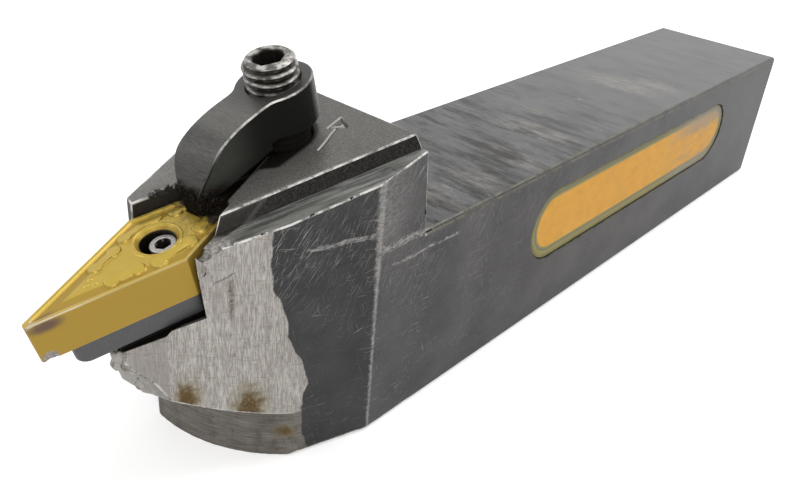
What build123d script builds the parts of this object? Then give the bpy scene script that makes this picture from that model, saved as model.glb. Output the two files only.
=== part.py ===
from build123d import *

import os
from math import cos, hypot, radians, sin, tan

os.makedirs("parts", exist_ok=True)

# A neutral turning tool holder on a square shank. All sizes are in millimetres.
# +X runs along the shank towards the cutting tip, +Y is the side with the label recess, +Z is up.
# The origin is the centre of the bounding box's bottom face.

# ---------------------------------------------------------------- driving dimensions

overall_length = 152.4
shank_width = 25.4
shank_height = 25.4
half_width = shank_width / 2
rear_x = -overall_length / 2
shank_edge_break = 0.4

# Insert: a 35 degree rhombus with an inscribed circle of 3/8 in, 3/16 in thick.
point_angle = 35.0
inscribed_circle = 9.525
insert_thickness = 4.7625
insert_nose_radius = 0.4
insert_hole_radius = 1.905
shim_thickness = 2.38
half_point = radians(point_angle / 2)
side_length = inscribed_circle / sin(2 * half_point)
half_long = side_length * cos(half_point)
half_short = side_length * sin(half_point)
nose_setback = insert_nose_radius / sin(half_point) - insert_nose_radius

# The seat slopes down towards the tip. Its plane is the insert's top face, centred on the
# insert's hole: local x points to the tip, local y is +Y and local z leaves the face.
seat_tilt = 14.5
tip_height = 25.2
tilt = radians(seat_tilt)
seat_x = overall_length / 2 - (half_long - nose_setback) * cos(tilt)
seat_z = tip_height + half_long * sin(tilt)
seat = Plane(
    origin=(seat_x, 0, seat_z),
    x_dir=(cos(tilt), 0, -sin(tilt)),
    z_dir=(sin(tilt), 0, cos(tilt)),
)
floor_depth = insert_thickness + shim_thickness

# Head: its sides taper in plan at the insert's own half angle.
head_corner_x = 42.5
head_rear_x = 34.5
head_rear_lean = 5.5
head_blank_top = 46.0
crown_height = 1.45
crown_edge_break = 0.4
ledge_wall_lean = 32.0
ledge_wall_start = 10.3

# Vertical facet on the +Y side of the nose, from the tapered side to the front.
facet_start_x = 52.4
facet_angle = 24.8
nose_facet_x = 67.9

# The -Y horn ends square to the tapered side, and the nose runs on under the insert.
horn_end_x = 60.65
horn_step = 3.05
nose_clearance_end_x = 65.6
nose_bulge = (67.9, 0.9)

# The front is turned about an upright axis: a low cylindrical band, a cone and a blunt lip.
band_axis_x = 39.1
band_axis_y = -5.8
band_radius = 20.1
band_height = 6.5
band_corner_radius = 1.5
cone_end = (26.9, 12.0)
lip_start = (27.9, 14.6)
lip_end = (30.7, 18.9)
front_cut_reach = 45.0
front_cut_top = 30.0
front_cut_from = -40.0
front_cut_sweep = 115.0

# Pocket walls: they bear on the insert near the rear corner and are relieved towards the front.
wall_contact_length = 9.0
wall_relief = 0.6
pocket_reach = 60.0
corner_relief_radius = 0.8

# Lock pin: its head stands eccentric to its threaded shank.
pin_shank_radius = 2.0
pin_head_radius = 1.43
pin_eccentricity = 0.45
pin_head_top = -0.85
pin_head_bottom = -insert_thickness - 0.2
pin_end = -18.0
pin_socket = 1.5
pin_socket_depth = 1.6
running_clearance = 0.05
pin_hole_depth = 12.5
shim_hole_radius = 2.3

# Clamp screw: a 6 mm stud with a 3 mm hex socket, square to the seat. It stands a little to the
# -Y side of the middle plane, and the clamp points from it to the insert's hole.
screw_radius = 3.0
screw_a = -18.96
screw_b = -1.4
screw_reach = hypot(screw_a, screw_b)
screw_top = 11.1
screw_end = -10.5
screw_end_chamfer = 0.55
screw_socket = 3.0
screw_socket_depth = 3.5
screw_hole_depth = 14.0
screw_hole_mouth_radius = 3.45

# Finger clamp, drawn in the seat frame turned towards its screw: distances from the insert's hole.
boss_radius = 4.35
boss_rear_top = 8.35
boss_bottom = 3.7
boss_overhang = 1.0
arm_half_width = 3.0
arm_blend_radius = 2.0
arm_top_line = ((-13.4, 7.6), (-10.6, 7.2), (-8.0, 6.3), (-6.2, 4.8), (-5.2, 2.8))
arm_bottom_rear = 3.0
arm_bottom_front = 2.2
toe_front = -4.66
toe_heel = -5.9
toe_heel_slope = 0.2
clamp_seat = Plane(
    origin=seat.origin,
    x_dir=seat.x_dir * (-screw_a / screw_reach) + seat.y_dir * (-screw_b / screw_reach),
    z_dir=seat.z_dir,
)
# The clamp's middle plane, for its side profile: local x to the tip, local y off the seat.
clamp_profile = Plane(origin=seat.origin, x_dir=clamp_seat.x_dir, z_dir=-clamp_seat.y_dir)

# Label recess in the +Y side of the shank.
label_length = 65.0
label_height = 11.3
label_x = -22.6
label_z = 15.6
label_recess = 0.5
label_thickness = 0.3
label_gap = 0.1


def taper_y(x):
    """Half width of the head's tapered side at x."""
    return half_width - (x - head_corner_x) * tan(half_point)


def facet_y(x):
    """Distance of the ground facet from the middle plane at x."""
    return taper_y(facet_start_x) - (x - facet_start_x) * tan(radians(facet_angle))


# ---------------------------------------------------------------- holder body

# The horn's end runs inwards, square to the tapered side, to just inside the insert's edge.
horn_outer = (horn_end_x, -taper_y(horn_end_x))
horn_inner = (
    horn_end_x + horn_step * sin(half_point),
    -taper_y(horn_end_x) + horn_step * cos(half_point),
)
nose_near = (
    nose_clearance_end_x,
    horn_inner[1] + (nose_clearance_end_x - horn_inner[0]) * tan(half_point),
)

# Pocket outline in the seat frame, from the rear corner forwards along both walls.
wall_along = (cos(half_point), sin(half_point))
contact_end = (
    -half_long + wall_contact_length * wall_along[0],
    wall_contact_length * wall_along[1],
)
relief_start = (
    contact_end[0] + wall_relief * (wall_along[0] - wall_along[1]),
    contact_end[1] + wall_relief * (wall_along[1] + wall_along[0]),
)
wall_far = (
    relief_start[0] + pocket_reach * wall_along[0],
    relief_start[1] + pocket_reach * wall_along[1],
)

with BuildPart() as holder_body:
    # Shank
    with BuildSketch(Plane.YZ.offset(rear_x)):
        with Locations((0, shank_height / 2)):
            Rectangle(shank_width, shank_height)
    extrude(amount=head_rear_x - rear_x)

    # Head blank in plan
    with BuildSketch():
        with BuildLine():
            Polyline(
                nose_near,
                horn_inner,
                horn_outer,
                (head_corner_x, -half_width),
                (head_rear_x, -half_width),
                (head_rear_x, half_width),
                (head_corner_x, half_width),
                (facet_start_x, taper_y(facet_start_x)),
                (nose_facet_x, facet_y(nose_facet_x)),
            )
            ThreePointArc((nose_facet_x, facet_y(nose_facet_x)), nose_bulge, nose_near)
        make_face()
    extrude(amount=head_blank_top)

    # Leaning rear wall above the shank
    rear_run = (head_blank_top - shank_height) * tan(radians(head_rear_lean))
    with BuildSketch(Plane.XZ):
        with BuildLine():
            Polyline(
                (head_rear_x, shank_height),
                (head_rear_x + rear_run, head_blank_top),
                (head_rear_x - 1, head_blank_top),
                (head_rear_x - 1, shank_height),
                close=True,
            )
        make_face()
    extrude(amount=half_width + 1, both=True, mode=Mode.SUBTRACT)

    # Broken edges round the underside, the rear end and the top of the shank
    shank_top_edges = (
        holder_body.edges()
        .filter_by(Axis.X)
        .filter_by_position(Axis.Z, shank_height / 2, shank_height)
    )
    rear_end_edges = holder_body.faces().sort_by(Axis.X)[0].edges()
    underside_edges = (
        holder_body.faces()
        .sort_by(Axis.Z)[0]
        .edges()
        .filter_by_position(Axis.X, rear_x - 1, facet_start_x)
    )
    chamfer(shank_top_edges + rear_end_edges + underside_edges, length=shank_edge_break)

    # Crown, parallel to the seat
    split(bisect_by=seat.offset(crown_height), keep=Keep.BOTTOM)

    # Ledge on the +Y side, level with the insert's top, below a leaning wall
    with BuildSketch(seat):
        with BuildLine():
            Polyline(
                (ledge_wall_start, 0),
                (ledge_wall_start - pocket_reach * cos(half_point), pocket_reach * sin(half_point)),
                (ledge_wall_start - pocket_reach * cos(half_point), pocket_reach),
                (ledge_wall_start, pocket_reach),
                close=True,
            )
        make_face()
    extrude(amount=2 * crown_height, taper=-ledge_wall_lean, mode=Mode.SUBTRACT)

    # Insert pocket, open to the front and to both sides of the nose
    with BuildSketch(seat.offset(-floor_depth)):
        with BuildLine():
            Polyline(
                (-half_long, 0),
                contact_end,
                relief_start,
                wall_far,
                (wall_far[0], -wall_far[1]),
                (relief_start[0], -relief_start[1]),
                (contact_end[0], -contact_end[1]),
                close=True,
            )
        make_face()
        with Locations((-half_long, 0)):
            Circle(corner_relief_radius)
    extrude(amount=2 * floor_depth, mode=Mode.SUBTRACT)

    # Turned front under the nose
    front_axis = Axis((band_axis_x, band_axis_y, 0), (0, 0, 1))
    front_start = radians(front_cut_from)
    with BuildSketch(
        Plane(
            origin=(band_axis_x, band_axis_y, 0),
            x_dir=(cos(front_start), sin(front_start), 0),
            z_dir=(sin(front_start), -cos(front_start), 0),
        )
    ):
        with BuildLine():
            Polyline(
                (band_radius, -1),
                (band_radius, band_height),
                cone_end,
                lip_start,
                lip_end,
                (lip_end[0], front_cut_top),
                (front_cut_reach, front_cut_top),
                (front_cut_reach, -1),
                close=True,
            )
        make_face()
    revolve(axis=front_axis, revolution_arc=front_cut_sweep, mode=Mode.SUBTRACT)
    band_corner = (horn_end_x, -taper_y(horn_end_x), band_height / 2)
    band_corner_edge = holder_body.edges().filter_by(Axis.Z).sort_by_distance(band_corner)[0]
    fillet(band_corner_edge, radius=band_corner_radius)

    # Worn edge of the crown on the -Y side
    worn_x = (head_corner_x + horn_end_x) / 2
    worn_edge = holder_body.edges().sort_by_distance((worn_x, -taper_y(worn_x), head_blank_top))[0]
    chamfer(worn_edge, length=crown_edge_break)

    # Holes for the lock pin and the clamp screw, both square to the seat
    with Locations(seat.offset(-floor_depth)):
        Hole(radius=pin_shank_radius + running_clearance, depth=pin_hole_depth)
    with Locations(seat.offset(crown_height)):
        with Locations((screw_a, screw_b)):
            CounterSinkHole(
                radius=screw_radius + running_clearance,
                counter_sink_radius=screw_hole_mouth_radius,
                depth=screw_hole_depth,
                counter_sink_angle=90,
            )

    # Round-ended label recess
    label_face = Plane(origin=(label_x, half_width, label_z), x_dir=(-1, 0, 0), z_dir=(0, 1, 0))
    with BuildSketch(label_face):
        SlotOverall(label_length, label_height)
    extrude(amount=-label_recess, mode=Mode.SUBTRACT)

holder_body.part.label = "holder_body"

# ---------------------------------------------------------------- insert and shim


def rhombus(inset=0.0):
    """Corners of the insert's outline in the seat frame, moved in by inset."""
    long_corner = half_long - inset / sin(half_point)
    short_corner = half_short - inset / cos(half_point)
    return [(long_corner, 0), (0, short_corner), (-long_corner, 0), (0, -short_corner)]


with BuildPart() as insert:
    with BuildSketch(seat) as insert_outline:
        with BuildLine():
            Polyline(*rhombus(), close=True)
        make_face()
        fillet(insert_outline.vertices(), radius=insert_nose_radius)
    extrude(amount=-insert_thickness)
    with Locations(seat):
        Hole(radius=insert_hole_radius)

insert.part.label = "insert"

shim_inset = 0.1
shim_nose_radius = 1.5
with BuildPart() as shim:
    with BuildSketch(seat.offset(-insert_thickness)) as shim_outline:
        with BuildLine():
            Polyline(*rhombus(shim_inset), close=True)
        make_face()
        fillet(shim_outline.vertices().sort_by(Axis.X)[-1], radius=shim_nose_radius)
        fillet(shim_outline.vertices().sort_by(Axis.X)[0], radius=shim_nose_radius)
    extrude(amount=-shim_thickness)
    with Locations(seat):
        Hole(radius=shim_hole_radius)

shim.part.label = "shim"

# ---------------------------------------------------------------- lock pin

with BuildPart() as lock_pin:
    with BuildSketch(seat.offset(pin_end)):
        Circle(pin_shank_radius)
    extrude(amount=pin_head_bottom - pin_end)
    with BuildSketch(seat.offset(pin_head_bottom)):
        with Locations((-pin_eccentricity, 0)):
            Circle(pin_head_radius)
    extrude(amount=pin_head_top - pin_head_bottom)
    with BuildSketch(seat.offset(pin_head_top)):
        with Locations((-pin_eccentricity, 0)):
            RegularPolygon(radius=pin_socket / 2, side_count=6, major_radius=False)
    extrude(amount=-pin_socket_depth, mode=Mode.SUBTRACT)

lock_pin.part.label = "lock_pin"

# ---------------------------------------------------------------- clamp and its screw

toe_centre = toe_front - arm_half_width
boss_rear = -screw_reach - boss_radius - boss_overhang
clamp_line = Axis(seat.origin, clamp_seat.x_dir)
with BuildPart() as clamp:
    with BuildSketch(clamp_seat) as clamp_plan:
        with Locations((-screw_reach, 0)):
            Circle(boss_radius)
        with Locations(((toe_centre - screw_reach) / 2, 0)):
            Rectangle(toe_centre + screw_reach, 2 * arm_half_width)
        with Locations((toe_centre, 0)):
            Circle(arm_half_width)
        fillet(clamp_plan.vertices().sort_by(clamp_line)[:2], radius=arm_blend_radius)
    extrude(amount=screw_top)
    with BuildSketch(clamp_profile):
        with BuildLine():
            top = Line((boss_rear, boss_rear_top), arm_top_line[0])
            Spline(*arm_top_line, (toe_front, 0), tangents=(top % 1, (0.1, -1)))
            Polyline(
                (toe_front, 0),
                (toe_heel, 0),
                (toe_heel - toe_heel_slope, arm_bottom_front),
                (boss_radius - screw_reach, arm_bottom_rear),
                (boss_radius - screw_reach, boss_bottom),
                (boss_rear, boss_bottom),
                top @ 0,
            )
        make_face()
    extrude(amount=2 * boss_radius, both=True, mode=Mode.INTERSECT)
    with Locations(seat.offset(screw_top)):
        with Locations((screw_a, screw_b)):
            Hole(radius=screw_radius + running_clearance)

clamp.part.label = "clamp"

with BuildPart() as clamp_screw:
    with BuildSketch(seat.offset(screw_end)):
        with Locations((screw_a, screw_b)):
            Circle(screw_radius)
    extrude(amount=screw_top - screw_end)
    chamfer(clamp_screw.edges().filter_by(GeomType.CIRCLE), length=screw_end_chamfer)
    with BuildSketch(seat.offset(screw_top)):
        with Locations((screw_a, screw_b)):
            RegularPolygon(radius=screw_socket / 2, side_count=6, major_radius=False)
    extrude(amount=-screw_socket_depth, mode=Mode.SUBTRACT)

clamp_screw.part.label = "clamp_screw"

# ---------------------------------------------------------------- label inlay

with BuildPart() as side_label:
    with BuildSketch(label_face.offset(-label_recess)):
        SlotOverall(label_length - 2 * label_gap, label_height - 2 * label_gap)
    extrude(amount=label_thickness)

side_label.part.label = "side_label"

# ---------------------------------------------------------------- write the parts

for piece in (holder_body, shim, insert, lock_pin, clamp, clamp_screw, side_label):
    export_step(piece.part, f"parts/{piece.part.label}.step")
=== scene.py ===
"""Looks of the turning tool holder: meshes, materials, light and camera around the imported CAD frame."""

import math

import bmesh
import bpy
import numpy as np
from mathutils import Matrix, Vector


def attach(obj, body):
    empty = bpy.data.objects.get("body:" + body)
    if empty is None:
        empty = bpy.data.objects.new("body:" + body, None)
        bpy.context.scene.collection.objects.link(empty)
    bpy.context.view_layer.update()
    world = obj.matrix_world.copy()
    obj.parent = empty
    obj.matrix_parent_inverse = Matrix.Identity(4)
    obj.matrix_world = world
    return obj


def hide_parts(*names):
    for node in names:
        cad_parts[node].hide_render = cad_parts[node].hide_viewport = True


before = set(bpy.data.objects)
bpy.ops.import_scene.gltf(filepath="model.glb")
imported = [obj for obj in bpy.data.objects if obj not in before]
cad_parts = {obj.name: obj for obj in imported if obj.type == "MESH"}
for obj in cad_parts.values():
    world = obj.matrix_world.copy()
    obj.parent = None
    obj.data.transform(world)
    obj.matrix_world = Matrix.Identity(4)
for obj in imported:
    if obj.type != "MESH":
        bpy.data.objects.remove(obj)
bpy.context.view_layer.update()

# ---------------------------------------------------------------- sizes and places, in millimetres

MM = 0.001
TAU = 2 * math.pi

# The seat frame: a runs to the tip along the sloping insert, b is +Y, w stands off the insert's top.
SEAT_TILT = math.radians(14.5)
SEAT_ORIGIN = (61.767, 0.0, 29.165)

# Insert
HALF_POINT = math.radians(17.5)
INSCRIBED_CIRCLE = 9.525
SIDE = INSCRIBED_CIRCLE / math.sin(2 * HALF_POINT)
HALF_LONG = SIDE * math.cos(HALF_POINT)
HALF_SHORT = SIDE * math.sin(HALF_POINT)
NOSE_RADIUS = 0.4
INSERT_THICKNESS = 4.7625
INSERT_HOLE_RADIUS = 1.905

# Clamp screw: its place in the seat frame, and its x where it leaves the crown
SCREW_PLACE = (-18.96, -1.4)
SCREW_X = 43.8
SCREW_RADIUS = 3.0
SCREW_TOP = 11.1
SCREW_END = -10.5
THREAD_PITCH = 1.0
THREAD_DEPTH = 0.58
THREAD_PHASE = 0.68
SCREW_CHAMFER = 0.55
SOCKET_ACROSS_FLATS = 3.0
SOCKET_DEPTH = 3.5

# Side label
LABEL_LENGTH = 65.0
LABEL_HEIGHT = 11.3
LABEL_X = -22.6
LABEL_Z = 15.6

# Holder and pin
SHANK_TOP = 25.4
CROWN_HEIGHT = 1.45
POCKET_FLOOR = -7.1425
HEAD_START = 33.0
HEAD_CORNER = 42.4
PIN_OFFSET = -0.45


def seat_axes():
    """Unit vectors of the seat frame."""
    along = Vector((math.cos(SEAT_TILT), 0, -math.sin(SEAT_TILT)))
    across = Vector((0, 1, 0))
    off = Vector((math.sin(SEAT_TILT), 0, math.cos(SEAT_TILT)))
    return along, across, off


SEAT_NORMAL = seat_axes()[2]


def seat_matrix(a=0.0, b=0.0, w=0.0):
    """Matrix, in metres, whose origin is at that place in the seat frame, with the seat's axes."""
    along, across, off = seat_axes()
    turn = Matrix((along, across, off)).transposed().to_4x4()
    place = Vector(SEAT_ORIGIN) + along * a + across * b + off * w
    return Matrix.Translation(place * MM) @ turn


# ---------------------------------------------------------------- camera

CAMERA_AT = (101.049, 63.698, 72.548)
CAMERA_HEADING = -140.5494
CAMERA_DROP = 30.2378
CAMERA_ROLL = -5.0598
FOCAL_PIXELS = 831.46
PHOTO_WIDTH = 800
SENSOR_WIDTH = 36.0


def add_camera():
    """The photograph's camera, from its place, heading, drop below the horizon and roll."""
    heading, drop, roll = (math.radians(v) for v in (CAMERA_HEADING, CAMERA_DROP, CAMERA_ROLL))
    look = Vector((math.cos(drop) * math.cos(heading), math.cos(drop) * math.sin(heading), -math.sin(drop)))
    level = look.cross(Vector((0, 0, 1))).normalized()
    upright = level.cross(look)
    up = upright * math.cos(roll) + level * math.sin(roll)
    right = look.cross(up)
    data = bpy.data.cameras.new("photo_camera")
    data.sensor_width = SENSOR_WIDTH
    data.lens = SENSOR_WIDTH * FOCAL_PIXELS / PHOTO_WIDTH
    data.clip_start = 0.005
    data.clip_end = 20
    camera = new_object("photo_camera", data)
    turn = Matrix((right, up, -look)).transposed().to_4x4()
    camera.matrix_world = Matrix.Translation(Vector(CAMERA_AT) * MM) @ turn
    bpy.context.scene.camera = camera


# ---------------------------------------------------------------- shader helpers


class Shader:
    """One node tree. Each call adds a node and returns its output; places are in millimetres."""

    def __init__(self, name, kind="materials", surface="Principled BSDF"):
        self.owner = getattr(bpy.data, kind).new(name)
        self.owner.use_nodes = True
        self.nodes = self.owner.node_tree.nodes
        self.links = self.owner.node_tree.links
        self.surface = self.nodes[surface]
        coordinates = self.nodes.new("ShaderNodeTexCoord").outputs
        self.normal = coordinates["Normal"]
        self.place = self.vector("SCALE", coordinates["Object"], scale=1 / MM)

    def put(self, socket, value):
        """Links value to socket if it is an output, or sets it if it is a number or colour."""
        if isinstance(value, bpy.types.NodeSocket):
            self.links.new(value, socket)
        elif isinstance(value, tuple) and len(value) == 3 and socket.type == "RGBA":
            socket.default_value = (*value, 1)
        else:
            socket.default_value = value

    def math(self, operation, *values):
        """The operation over its values, one after the other."""
        result = values[0]
        for value in values[1:]:
            node = self.nodes.new("ShaderNodeMath")
            node.operation = operation
            self.put(node.inputs[0], result)
            self.put(node.inputs[1], value)
            result = node.outputs[0]
        return result

    def times(self, *values):
        return self.math("MULTIPLY", *values)

    def plus(self, *values):
        return self.math("ADD", *values)

    def minus(self, first, second):
        return self.math("SUBTRACT", first, second)

    def highest(self, *values):
        return self.math("MAXIMUM", *values)

    def absolute(self, value):
        return self.math("ABSOLUTE", value, 0.0)

    def vector(self, operation, first, second=(0, 0, 0), scale=1.0):
        """The operation on one or two vectors; the result is a vector or a number, as it gives."""
        node = self.nodes.new("ShaderNodeVectorMath")
        node.operation = operation
        self.put(node.inputs[0], first)
        if operation == "SCALE":
            self.put(node.inputs[3], scale)
        elif operation != "LENGTH":
            self.put(node.inputs[1], second)
        return node.outputs[1] if operation in ("DISTANCE", "DOT_PRODUCT", "LENGTH") else node.outputs[0]

    def parts(self, vector):
        """The three numbers of a vector."""
        node = self.nodes.new("ShaderNodeSeparateXYZ")
        self.put(node.inputs[0], vector)
        return node.outputs

    def joined(self, x, y, z=0.0):
        """The vector with these three numbers."""
        node = self.nodes.new("ShaderNodeCombineXYZ")
        for socket, value in zip(node.inputs, (x, y, z)):
            self.put(socket, value)
        return node.outputs[0]

    def length(self, *numbers):
        """The length of a vector with these numbers."""
        return self.vector("LENGTH", self.joined(*numbers))

    def distance(self, point):
        """How far the place is from a point."""
        return self.vector("DISTANCE", self.place, point)

    def seat(self, *start):
        """The place as a, b and w of the seat frame, counted from the point start of that frame."""
        offset = self.vector("SUBTRACT", self.place, seat_matrix(*start).translation / MM)
        return [self.vector("DOT_PRODUCT", offset, axis) for axis in seat_axes()]

    def facing(self, direction):
        """1 where the surface faces a direction and 0 where it stands side on to it."""
        return self.vector("DOT_PRODUCT", self.normal, direction)

    def turned(self, vector, angles):
        """vector turned by Euler angles in degrees."""
        node = self.nodes.new("ShaderNodeVectorRotate")
        node.rotation_type = "EULER_XYZ"
        self.put(node.inputs["Vector"], vector)
        node.inputs["Rotation"].default_value = [math.radians(v) for v in angles]
        return node.outputs[0]

    def noise(self, scale, detail=2.0, roughness=0.5, distortion=0.0, at=None):
        """Noise over the object, or over the vector at; scale is one number, or one for each axis."""
        at = self.place if at is None else at
        if isinstance(scale, tuple):
            at, scale = self.vector("MULTIPLY", at, scale), 1.0
        node = self.nodes.new("ShaderNodeTexNoise")
        self.put(node.inputs["Vector"], at)
        node.inputs["Scale"].default_value = scale
        node.inputs["Detail"].default_value = detail
        node.inputs["Roughness"].default_value = roughness
        node.inputs["Distortion"].default_value = distortion
        return node.outputs[0]

    def uneven(self, value, amount, *noise):
        """value moved up and down by noise of that amount."""
        return self.plus(value, self.times(self.minus(self.noise(*noise), 0.5), amount))

    def step(self, value, low, high, to_low=0.0, to_high=1.0, kind="SMOOTHSTEP"):
        """to_low below low, to_high above high and smooth between; low above high turns it round."""
        node = self.nodes.new("ShaderNodeMapRange")
        node.interpolation_type = kind
        for socket, number in zip(node.inputs, (value, low, high, to_low, to_high)):
            self.put(socket, number)
        return node.outputs[0]

    def between(self, value, low, high, soft):
        """1 from low to high, fading over soft on each side."""
        inside = self.step(value, low - soft, low + soft)
        return self.times(inside, self.step(value, high + soft, high - soft))

    def mix(self, first, second, *masks):
        """The colour second laid over first, as much as the product of the masks."""
        node = self.nodes.new("ShaderNodeMix")
        node.data_type = "RGBA"
        self.put(node.inputs[0], self.times(*masks))
        self.put(node.inputs[6], first)
        self.put(node.inputs[7], second)
        return node.outputs[2]

    def blend(self, factor, first, second):
        """Number between first, at 0, and second, at 1."""
        node = self.nodes.new("ShaderNodeMix")
        self.put(node.inputs[0], factor)
        self.put(node.inputs[2], first)
        self.put(node.inputs[3], second)
        return node.outputs[0]

    def spot(self, centre, radius, soft=0.5, squeeze=(1.0, 1.0, 1.0)):
        """1 near a point and 0 outside radius, with an uneven rim; squeeze below 1 lengthens it."""
        offset = self.vector("MULTIPLY", self.vector("SUBTRACT", self.place, centre), squeeze)
        uneven = self.times(self.noise(1.1, 4.0), radius)
        rim = self.plus(self.vector("LENGTH", offset), uneven)
        return self.step(rim, radius * 1.5, radius * (1.5 - soft))

    def strokes(self, slope, scale, threshold, seed):
        """Fine straight scratches on the sides, at a slope in degrees."""
        turned = self.turned(self.place, (0, slope, 0))
        shifted = self.vector("ADD", turned, (seed, seed * 0.7, -seed))
        return self.step(self.noise(scale, 3.0, 0.6, at=shifted), threshold, threshold + 0.05)

    def bump(self, height, depth):
        """Normal of a surface raised by height times depth, in millimetres."""
        node = self.nodes.new("ShaderNodeBump")
        node.inputs["Distance"].default_value = depth * MM
        self.put(node.inputs["Height"], height)
        return node.outputs[0]

    def finish(self, **inputs):
        """Sets the surface's sockets, with spaces for underscores in their names."""
        for name, value in inputs.items():
            self.put(self.surface.inputs[name.replace("_", " ").title().replace("Ior", "IOR")], value)
        return self.owner


# ---------------------------------------------------------------- materials

BLACK_OXIDE = (0.040, 0.039, 0.041)
OXIDE_CLOUD = (0.080, 0.077, 0.077)
SCRATCH = (0.30, 0.29, 0.28)
BRIGHT_STEEL = (0.62, 0.60, 0.57)
RUST = (0.105, 0.062, 0.022)
# Near black: oil, and painted shade in holes, gaps, the label's recess and under the clamp.
OIL_AND_SHADE = (0.010, 0.009, 0.007)

# Scratches on the black sides: slope in degrees, stretch of the noise, threshold and seed.
STEEP_SCRATCHES = (
    (-58, (0.3, 0.3, 9.0), 0.61, 3.0),
    (-48, (0.25, 0.3, 8.0), 0.62, 11.0),
    (-74, (0.35, 0.3, 10.0), 0.62, 19.0),
)
LONG_SCRATCHES = (
    (6, (0.3, 0.4, 8.0), 0.65, 23.0),
    (-22, (0.4, 0.4, 9.0), 0.645, 31.0),
    (75, (0.4, 0.4, 9.0), 0.66, 41.0),
)
# The ground area's ragged border on the +Y side of the head: height, then x.
GROUND_BORDER = (
    (0.0, 50.0), (7.6, 51.0), (10.5, 50.4), (14.0, 51.3),
    (16.5, 52.2), (22.5, 53.4), (24.2, 54.1), (31.0, 53.9),
)
# Rust on the ground area: place, size, and how flat it is, where a number below 1 makes it tall.
RUST_SPOTS = (
    ((62.7, 4.8, 12.0), 1.9, 0.62),
    ((56.6, 7.6, 8.8), 2.7, 0.66),
    ((53.0, 9.3, 3.9), 1.9, 1.5),
    ((67.9, 1.7, 19.8), 0.8, 1.0),
)
# A brown stain on the ground area: its x, and its lower and upper end.
STAIN_LINE = (58.2, 21.5, 26.2)
BAND_TOP = 6.5
BURR_PLACE = (59.2, 6.5, 29.9)
# The ground facet on the nose's +Y side: where it starts in plan and the angle that it turns in.
FACET_START = (52.4, 9.58)
FACET_ANGLE = math.radians(24.8)
# The angle, in degrees, that turns the ledge's length to x.
LEDGE_HEADING = 20.3
# The clamp's painted shadow on the crown: from the screw to near the toe, in the seat frame.
CLAMP_SHADOW_LINE = (-18.96, -7.0)
# Smears on the shank's top: x, y and size. Then one small dot.
SMEARS = (
    (-33.0, 0.5, 4.2), (-38.0, 5.0, 2.6), (-2.1, 3.0, 3.2), (-9.0, -1.0, 1.6),
    (8.8, 7.0, 2.8), (18.3, 7.8, 2.4), (27.0, 5.0, 3.2), (20.0, -3.0, 2.2),
)
DOT = (-19.8, 0.2, SHANK_TOP)
# Scuffs along the side: x from, x to, height and width.
SCUFFS = ((42.9, 50.6, 28.1, 0.28), (34.6, 42.0, 25.7, 0.5), (28.0, 40.0, 23.1, 0.16))


def ground_mask(s):
    """1 on the bare ground area of the nose, 0 on the black sides."""
    x, y, z = s.parts(s.place)
    curve = s.nodes.new("ShaderNodeFloatCurve")
    points = curve.mapping.curves[0].points
    low, high = 45.0, 60.0
    top = GROUND_BORDER[-1][0]
    places = [(height / top, (border - low) / (high - low)) for height, border in GROUND_BORDER]
    points[0].location = places[0]
    points[-1].location = places[-1]
    for place in places[1:-1]:
        points.new(*place)
    curve.mapping.update()
    s.put(curve.inputs["Value"], s.math("DIVIDE", z, top))
    border = s.plus(s.times(curve.outputs[0], high - low), low)
    past = s.minus(s.uneven(x, 1.3, 0.4, 4.0, 0.45), border)
    return s.times(s.step(past, -0.1, 0.1), s.step(y, -9.0, -7.0))


def rubbed_side(s, x, z):
    """Mask of the scuffs along the +Y side and of the light, frayed line at the head's corner."""
    crumbs = s.step(s.noise((1.4, 1.4, 3.5), 6.0, 0.8), 0.42, 0.58)
    scuffs = []
    for x_from, x_to, height, width in SCUFFS:
        across = s.between(s.uneven(z, 1.1, 0.5, 4.0), height - width, height + width, 0.12)
        scuffs.append(s.times(s.between(x, x_from, x_to, 0.4), across))
    corner_half = s.blend(s.step(z, 14.0, 33.0), 0.16, 0.48)
    frayed = s.uneven(s.absolute(s.minus(x, HEAD_CORNER)), 1.5, 2.2, 6.0, 0.8)
    corner = s.times(s.step(s.minus(frayed, corner_half), 0.22, -0.22), s.blend(crumbs, 0.5, 1.0))
    behind = s.times(s.step(x, 36.0, HEAD_CORNER - 0.2), s.step(x, HEAD_CORNER + 0.3, HEAD_CORNER))
    behind = s.times(behind, s.step(z, 23.5, 29.0), s.blend(crumbs, 0.12, 0.5))
    return s.highest(corner, behind, s.times(s.highest(*scuffs), crumbs))


def soiled_top(s, x, z):
    """Masks of the pale smears and of the soot on the shank's top."""
    on_top = s.between(z, SHANK_TOP - 0.08, SHANK_TOP + 0.08, 0.03)
    streaky = s.step(s.noise((1.8, 0.45, 1.0), 7.0, 0.78, 0.6), 0.34, 0.66)
    spots = [s.spot((cx, cy, SHANK_TOP), size, 0.6, (1.0, 0.42, 1.0)) for cx, cy, size in SMEARS]
    smears = s.times(s.highest(*spots), streaky, on_top)
    smears = s.highest(smears, s.step(s.distance(DOT), 0.5, 0.2))
    soot = s.step(s.noise((0.5, 0.12, 1.0), 6.0, 0.7), 0.42, 0.66)
    return smears, s.times(soot, on_top, s.blend(s.step(x, -30.0, 5.0), 0.3, 0.88))


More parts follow.
